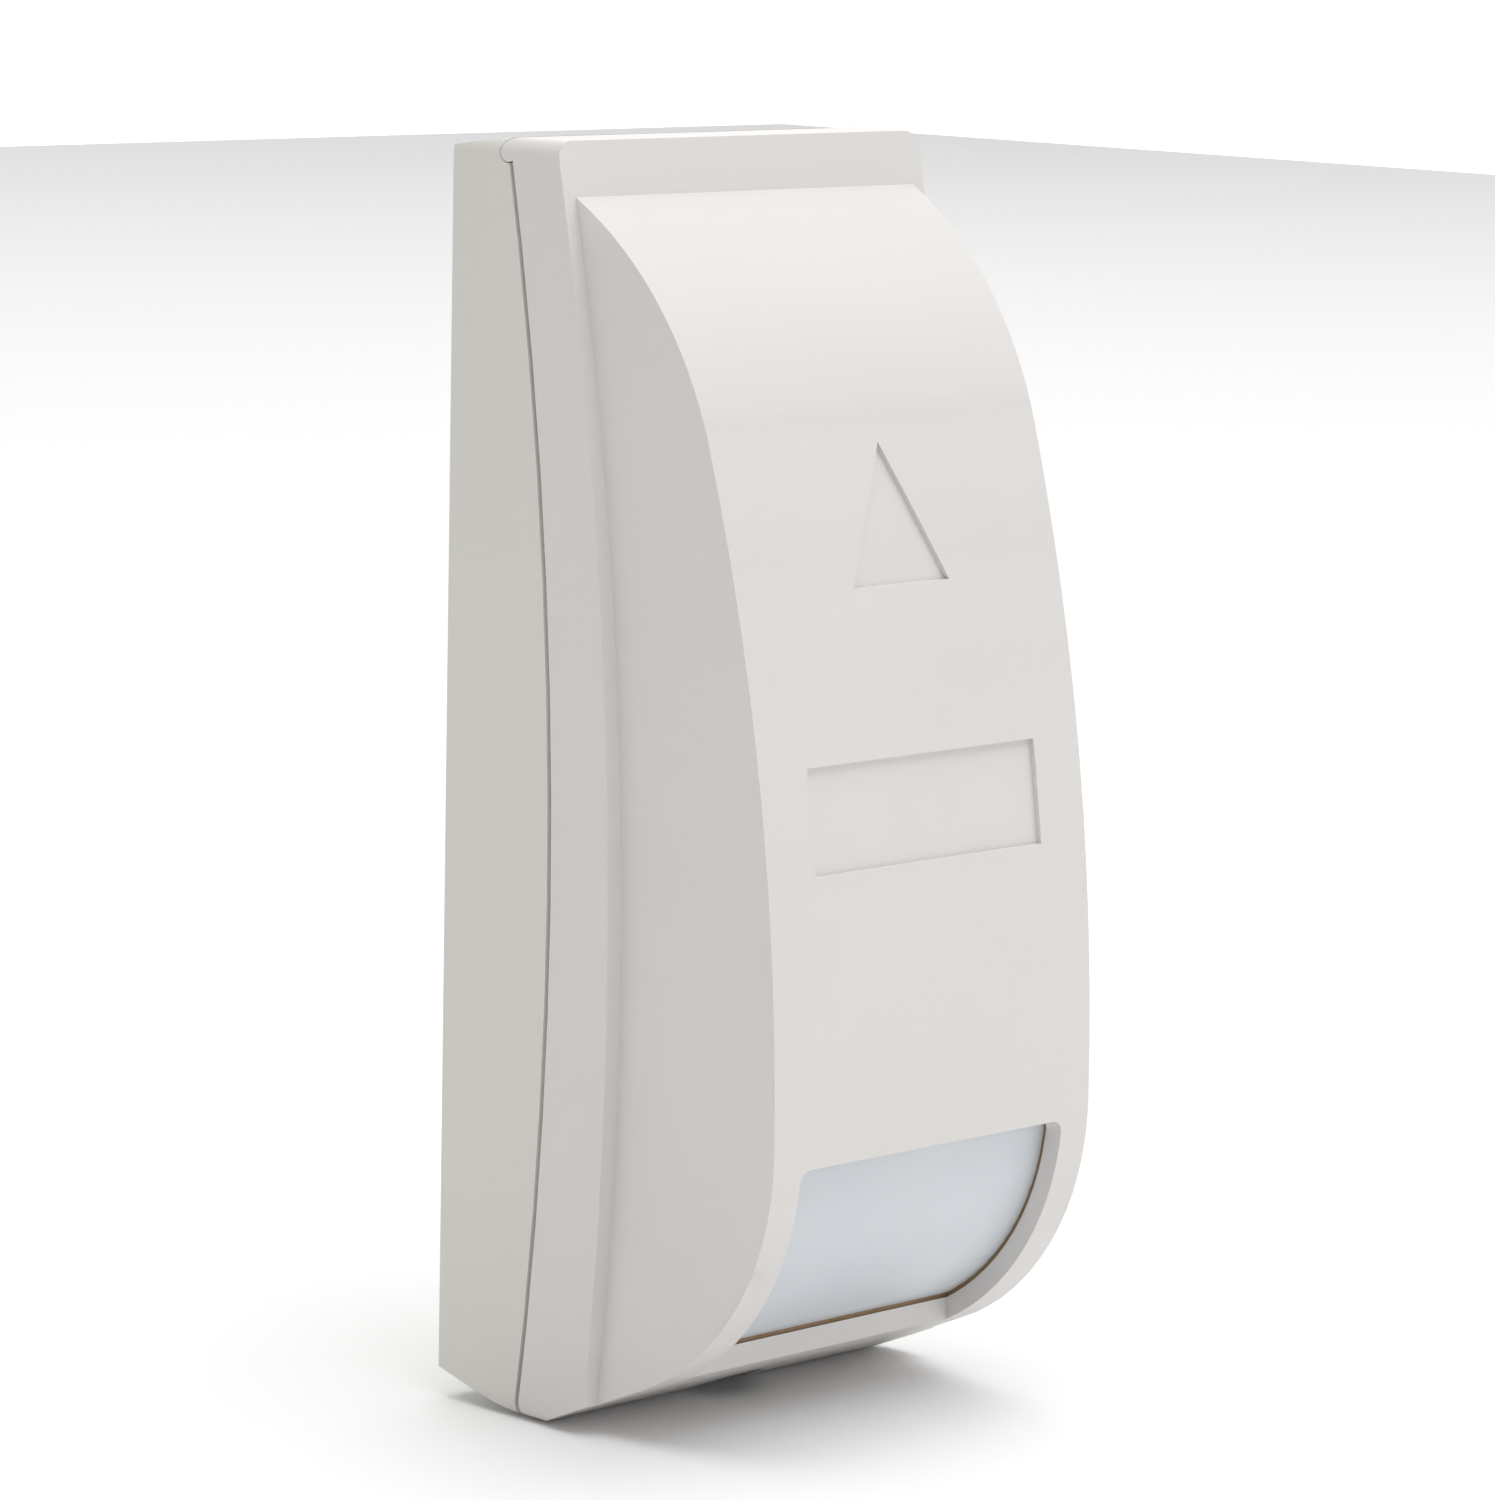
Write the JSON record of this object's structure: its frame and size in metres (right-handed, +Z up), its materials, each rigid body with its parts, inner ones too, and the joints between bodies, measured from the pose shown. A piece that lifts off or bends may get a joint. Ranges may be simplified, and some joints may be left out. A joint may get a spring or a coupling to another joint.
{
  "type": "motion sensor",
  "caption": "Wall-mounted passive infrared motion sensor: thin base, bowed hooded cover hinged at the top, lens wrapping under its chin, circuit board inside.",
  "frame": {"origin": "middle of the back face that lies on the wall", "axes": "+Z up the case, -Y out of the wall into the room, +X to the right of someone facing the sensor"},
  "size_m": [0.044, 0.0396, 0.1124],
  "materials": {
    "case_abs": "moulded warm white ABS, very fine texture",
    "lens_polyethylene": "translucent polyethylene sheet, satin",
    "adhesive_strip": "tan adhesive strip",
    "black_abs": "black moulded plastic",
    "green_laminate": "green solder resist on glass-epoxy laminate",
    "zinc_plated_steel": "zinc plated",
    "nickel_steel": "nickel plated, drawn",
    "filter_window": "dark coated silicon window",
    "gold_plated_pins": "gold flash",
    "green_nylon": "green moulded nylon",
    "tinned_copper": "tin plated",
    "brass_screws": "turned brass",
    "ivory_acetal": "ivory acetal",
    "cream_relay_case": "cream moulded case",
    "red_epoxy": "red diffused epoxy",
    "black_epoxy": "black moulded epoxy",
    "capacitor_sleeve": "dark blue sleeve",
    "ceramic_chips": "ceramic chips",
    "red_nylon": "red moulded nylon",
    "blue_nylon": "blue moulded nylon"
  },
  "bodies": {
    "base": {"rear_base": "case_abs", "circuit_board": "green_laminate", "board_screw": "zinc_plated_steel", "infrared_sensor": "nickel_steel", "sensor_filter": "filter_window", "sensor_leads": "gold_plated_pins", "sensor_seat": "black_abs", "terminal_block": "green_nylon", "terminal_pins": "tinned_copper", "tamper_switch": "black_abs", "alarm_relay": "cream_relay_case", "status_led": "red_epoxy", "microcontroller": "black_epoxy", "amplifier_chip": "black_epoxy", "chip_legs": "tinned_copper", "voltage_regulator": "black_epoxy", "crystal": "nickel_steel", "capacitor_tall": "capacitor_sleeve", "capacitor_short": "capacitor_sleeve", "small_components": "ceramic_chips", "jumper_pins": "gold_plated_pins", "trimmer_body": "blue_nylon"},
    "cover": {"front_cover": "case_abs", "lens": "lens_polyethylene", "lens_seal": "adhesive_strip", "lens_keeper": "black_abs"},
    "case_screw": {"case_screw": "zinc_plated_steel"},
    "tamper_plunger": {"tamper_plunger": "ivory_acetal"},
    "trimmer_rotor": {"trimmer_rotor": "ivory_acetal"},
    "jumper_cap_left": {"jumper_cap_left": "red_nylon"},
    "jumper_cap_right": {"jumper_cap_right": "red_nylon"},
    "terminal_screw_1": {"terminal_screw_1": "brass_screws"},
    "terminal_clamp_1": {"terminal_clamp_1": "zinc_plated_steel"},
    "terminal_screw_2": {"terminal_screw_2": "brass_screws"},
    "terminal_clamp_2": {"terminal_clamp_2": "zinc_plated_steel"},
    "terminal_screw_3": {"terminal_screw_3": "brass_screws"},
    "terminal_clamp_3": {"terminal_clamp_3": "zinc_plated_steel"},
    "terminal_screw_4": {"terminal_screw_4": "brass_screws"},
    "terminal_clamp_4": {"terminal_clamp_4": "zinc_plated_steel"},
    "terminal_screw_5": {"terminal_screw_5": "brass_screws"},
    "terminal_clamp_5": {"terminal_clamp_5": "zinc_plated_steel"},
    "terminal_screw_6": {"terminal_screw_6": "brass_screws"},
    "terminal_clamp_6": {"terminal_clamp_6": "zinc_plated_steel"}
  },
  "joints": [
    {"name": "cover_hinge", "type": "hinge", "parent": "base", "child": "cover", "pos_m": [0, -0.007, 0.05515], "axis": [-1, 0, 0], "range_deg": [0, 43]},
    {"name": "case_screw_turn_out", "type": "slide", "parent": "base", "child": "case_screw", "axis": [0, 0, -1], "range_m": [0, 0.0025]},
    {"name": "tamper_press", "type": "slide", "parent": "base", "child": "tamper_plunger", "axis": [0, 1, 0], "range_m": [0, 0.0008], "stiffness_N_per_m": 300},
    {"name": "trimmer_turn", "type": "hinge", "parent": "base", "child": "trimmer_rotor", "pos_m": [0.012, -0.012, -0.0232], "axis": [0, 1, 0], "range_deg": [-135, 135]},
    {"name": "jumper_left_pull", "type": "slide", "parent": "base", "child": "jumper_cap_left", "axis": [0, -1, 0], "range_m": [0, 0.007]},
    {"name": "jumper_right_pull", "type": "slide", "parent": "base", "child": "jumper_cap_right", "axis": [0, -1, 0], "range_m": [0, 0.007]},
    {"name": "terminal_screw_1_turn", "type": "hinge", "parent": "base", "child": "terminal_screw_1", "pos_m": [-0.0125, -0.018, 0.0318], "axis": [0, 1, 0], "range_deg": [0, 972]},
    {"name": "terminal_clamp_1_lift", "type": "slide", "parent": "base", "child": "terminal_clamp_1", "axis": [0, -1, 0], "range_m": [0, 0.00135]},
    {"name": "terminal_screw_2_turn", "type": "hinge", "parent": "base", "child": "terminal_screw_2", "pos_m": [-0.0075, -0.018, 0.0318], "axis": [0, 1, 0], "range_deg": [0, 972]},
    {"name": "terminal_clamp_2_lift", "type": "slide", "parent": "base", "child": "terminal_clamp_2", "axis": [0, -1, 0], "range_m": [0, 0.00135]},
    {"name": "terminal_screw_3_turn", "type": "hinge", "parent": "base", "child": "terminal_screw_3", "pos_m": [-0.0025, -0.018, 0.0318], "axis": [0, 1, 0], "range_deg": [0, 972]},
    {"name": "terminal_clamp_3_lift", "type": "slide", "parent": "base", "child": "terminal_clamp_3", "axis": [0, -1, 0], "range_m": [0, 0.00135]},
    {"name": "terminal_screw_4_turn", "type": "hinge", "parent": "base", "child": "terminal_screw_4", "pos_m": [0.0025, -0.018, 0.0318], "axis": [0, 1, 0], "range_deg": [0, 972]},
    {"name": "terminal_clamp_4_lift", "type": "slide", "parent": "base", "child": "terminal_clamp_4", "axis": [0, -1, 0], "range_m": [0, 0.00135]},
    {"name": "terminal_screw_5_turn", "type": "hinge", "parent": "base", "child": "terminal_screw_5", "pos_m": [0.0075, -0.018, 0.0318], "axis": [0, 1, 0], "range_deg": [0, 972]},
    {"name": "terminal_clamp_5_lift", "type": "slide", "parent": "base", "child": "terminal_clamp_5", "axis": [0, -1, 0], "range_m": [0, 0.00135]},
    {"name": "terminal_screw_6_turn", "type": "hinge", "parent": "base", "child": "terminal_screw_6", "pos_m": [0.0125, -0.018, 0.0318], "axis": [0, 1, 0], "range_deg": [0, 972]},
    {"name": "terminal_clamp_6_lift", "type": "slide", "parent": "base", "child": "terminal_clamp_6", "axis": [0, -1, 0], "range_m": [0, 0.00135]}
  ],
  "couplings": [
    {"joint": "terminal_screw_1_turn", "follows": "terminal_clamp_1_lift", "rad_per_m": 12566},
    {"joint": "terminal_screw_2_turn", "follows": "terminal_clamp_2_lift", "rad_per_m": 12566},
    {"joint": "terminal_screw_3_turn", "follows": "terminal_clamp_3_lift", "rad_per_m": 12566},
    {"joint": "terminal_screw_4_turn", "follows": "terminal_clamp_4_lift", "rad_per_m": 12566},
    {"joint": "terminal_screw_5_turn", "follows": "terminal_clamp_5_lift", "rad_per_m": 12566},
    {"joint": "terminal_screw_6_turn", "follows": "terminal_clamp_6_lift", "rad_per_m": 12566}
  ]
}
